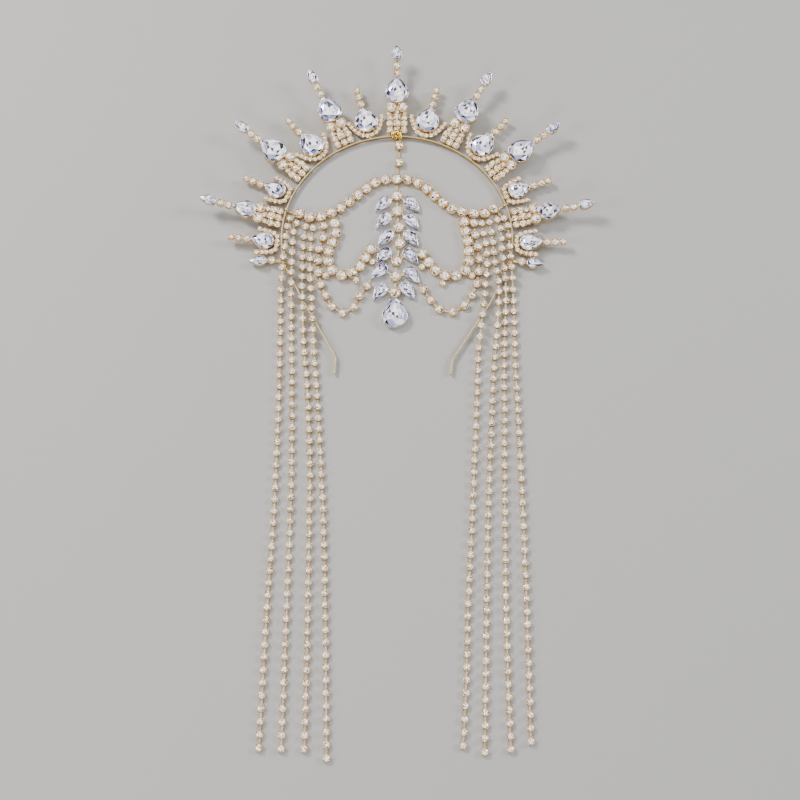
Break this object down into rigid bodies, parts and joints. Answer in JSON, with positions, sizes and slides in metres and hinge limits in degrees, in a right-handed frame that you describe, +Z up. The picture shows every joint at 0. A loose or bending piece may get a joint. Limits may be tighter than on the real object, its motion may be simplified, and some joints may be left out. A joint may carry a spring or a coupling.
{
  "type": "rhinestone headband",
  "caption": "Arched metal headband with a halo of jewelled spikes, chains of set stones for the brow and cheeks, a leafy centre drop and long strands at the sides, laid flat.",
  "frame": {"origin": "middle of the bottom of the box that the laid-out piece fills, on the surface it lies on", "axes": "+Z up from the surface, +Y towards the top of the halo, +X to the right of the halo as it is seen from above"},
  "size_m": [0.2274, 0.415, 0.0132],
  "materials": {
    "gilt_strip": "polished gilt",
    "gilt_settings": "polished pale gilt",
    "gilt_chain": "polished gilt",
    "pale_gilt_settings": "polished, silvery gilt",
    "clear_crystal": "clear, cut and foil backed",
    "grey_crystal": "clear, cut and foil backed, a little grey",
    "champagne_crystal": "clear, cut and foil backed, warm"
  },
  "bodies": {
    "root": {"headband": "gilt_strip", "spike_centre": "gilt_settings", "spike_left_1": "gilt_settings", "spike_left_2": "gilt_settings", "spike_left_3": "gilt_settings", "spike_left_4": "gilt_settings", "spike_left_5": "gilt_settings", "spike_left_6": "gilt_settings", "spike_left_7": "gilt_settings", "spike_left_8": "gilt_settings", "spike_right_1": "gilt_settings", "spike_right_2": "gilt_settings", "spike_right_3": "gilt_settings", "spike_right_4": "gilt_settings", "spike_right_5": "gilt_settings", "spike_right_6": "gilt_settings", "spike_right_7": "gilt_settings", "spike_right_8": "gilt_settings", "teardrop_centre": "clear_crystal", "teardrop_left_1": "clear_crystal", "teardrop_left_2": "clear_crystal", "teardrop_left_3": "clear_crystal", "teardrop_left_4": "clear_crystal", "teardrop_left_5": "clear_crystal", "teardrop_left_6": "clear_crystal", "teardrop_left_7": "clear_crystal", "teardrop_right_1": "clear_crystal", "teardrop_right_2": "clear_crystal", "teardrop_right_3": "clear_crystal", "teardrop_right_4": "clear_crystal", "teardrop_right_5": "clear_crystal", "teardrop_right_6": "clear_crystal", "teardrop_right_7": "clear_crystal", "spike_tip_stones": "clear_crystal", "spike_round_stones": "champagne_crystal", "brow_chain": "gilt_chain", "brow_stones": "champagne_crystal", "cheek_chain_left": "gilt_chain", "cheek_chain_right": "gilt_chain", "cheek_stones": "champagne_crystal", "swag_chain_left": "gilt_chain", "swag_chain_right": "gilt_chain", "swag_stones": "champagne_crystal", "upper_chain": "gilt_chain", "centre_column": "pale_gilt_settings", "column_stones": "champagne_crystal", "leaf_stones_left": "grey_crystal", "leaf_stones_right": "grey_crystal", "drop_stone": "clear_crystal", "strand_left_1": "gilt_chain", "strand_left_2": "gilt_chain", "strand_left_3": "gilt_chain", "strand_left_4": "gilt_chain", "strand_right_1": "gilt_chain", "strand_right_2": "gilt_chain", "strand_right_3": "gilt_chain", "strand_right_4": "gilt_chain"}
  },
  "joints": []
}
